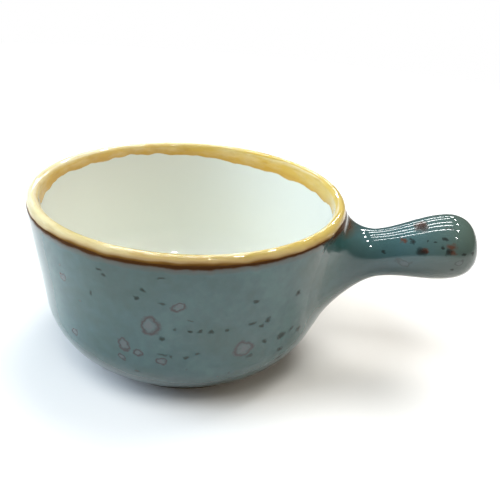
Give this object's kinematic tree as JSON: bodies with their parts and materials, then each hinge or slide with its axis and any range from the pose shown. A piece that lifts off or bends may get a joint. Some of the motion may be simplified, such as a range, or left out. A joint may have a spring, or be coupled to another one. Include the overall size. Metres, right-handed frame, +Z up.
{
  "type": "sauce dish",
  "caption": "Round glazed stoneware sauce dish with a leaning wall, rounded belly, foot ring and a stub handle that flares into the wall; it holds a portion of sauce or dip.",
  "frame": {"origin": "on the bowl's axis, in the plane of the foot ring's standing face", "axes": "+Z up along the bowl's axis, +X along the handle, +Y to the handle's left"},
  "size_m": [0.1498, 0.106, 0.0605],
  "materials": {
    "bowl_clay": "bare fired stoneware, fine sandy",
    "luting_slip": "fired slip, matt",
    "handle_clay": "bare fired stoneware, fine sandy",
    "inner_glaze": "gloss white glaze",
    "outer_glaze": "gloss blue-grey reactive glaze with brown flecks",
    "base_glaze": "gloss blue-grey reactive glaze",
    "handle_glaze": "gloss blue-grey reactive glaze with rust and black flecks",
    "rim_glaze": "gloss ochre glaze, brown at its outer edge"
  },
  "bodies": {
    "root": {"bowl_body": "bowl_clay", "luting_slip": "luting_slip", "handle": "handle_clay", "inner_glaze": "inner_glaze", "outer_glaze": "outer_glaze", "base_glaze": "base_glaze", "handle_glaze": "handle_glaze", "rim_glaze": "rim_glaze"}
  },
  "joints": []
}
